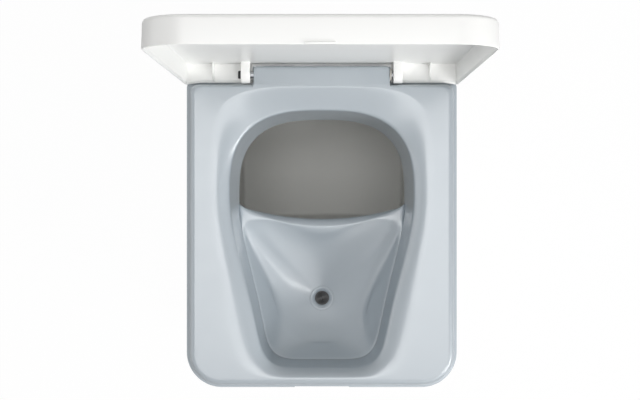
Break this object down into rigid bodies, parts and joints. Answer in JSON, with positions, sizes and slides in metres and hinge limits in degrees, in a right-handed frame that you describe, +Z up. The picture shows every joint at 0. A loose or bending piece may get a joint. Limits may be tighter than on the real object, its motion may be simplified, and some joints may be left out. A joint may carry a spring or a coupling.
{
  "type": "composting toilet",
  "caption": "Urine-diverting composting toilet: housing with solids bin, urine bottle and vent fan, hinged seat with bowl and diverter, and hinged lid, standing open.",
  "frame": {"origin": "on the floor, under the middle of the housing's plan", "axes": "+Z up, +Y towards the rear, where the lid and the vent are, +X to the right of someone who faces the lid"},
  "size_m": [0.39, 0.4985, 0.8563],
  "materials": {
    "white_plastic": "white moulded plastic, satin gloss",
    "blue_plastic": "pale blue-grey moulded plastic, satin gloss",
    "grey_plastic": "warm grey moulded plastic",
    "bottle_plastic": "milky blow-moulded plastic",
    "black_plastic": "black plastic",
    "black_rubber": "black rubber",
    "grey_rubber": "dark grey rubber",
    "beige_plastic": "light grey plastic",
    "steel": "stainless steel, brushed"
  },
  "bodies": {
    "housing": {"base_tray": "grey_plastic", "foot_pads": "black_rubber", "base_screws": "steel", "housing_shell": "white_plastic", "divider_panel": "white_plastic", "solids_bin": "grey_plastic", "urine_bottle": "bottle_plastic", "bottle_neck_ring": "black_rubber", "seat_gasket": "black_rubber", "insect_screen": "steel", "fan_frame": "black_plastic", "vent_gasket": "black_rubber", "vent_spigot": "white_plastic", "vent_screws": "steel", "dc_socket": "black_plastic", "dc_socket_nut": "steel", "fan_lead": "black_rubber", "seat_hinge_leaves": "steel", "seat_hinge_pins": "steel", "seat_hinge_screws": "steel"},
    "seat": {"seat_deck": "blue_plastic", "hinge_block": "blue_plastic", "diverter_bowl": "blue_plastic", "drain_spout": "blue_plastic", "drain_nut": "white_plastic", "drain_valve": "grey_rubber", "lid_pin_left": "steel", "lid_pin_head": "black_plastic", "lid_pin_right": "steel", "lid_pin_flange": "beige_plastic"},
    "lid": {"lid_shell": "white_plastic"},
    "fan_rotor": {"fan_rotor": "black_plastic"}
  },
  "joints": [
    {"name": "seat_hinge", "type": "hinge", "parent": "housing", "child": "seat", "pos_m": [0, 0.2335, 0.383], "axis": [-1, 0, 0], "range_deg": [0, 85]},
    {"name": "lid_hinge", "type": "hinge", "parent": "seat", "child": "lid", "pos_m": [0, 0.215, 0.408], "axis": [1, 0, 0], "range_deg": [0, 90]},
    {"name": "fan_spin", "type": "hinge", "parent": "housing", "child": "fan_rotor", "pos_m": [0, 0.2167, 0.29], "axis": [0, 1, 0], "continuous": true}
  ]
}
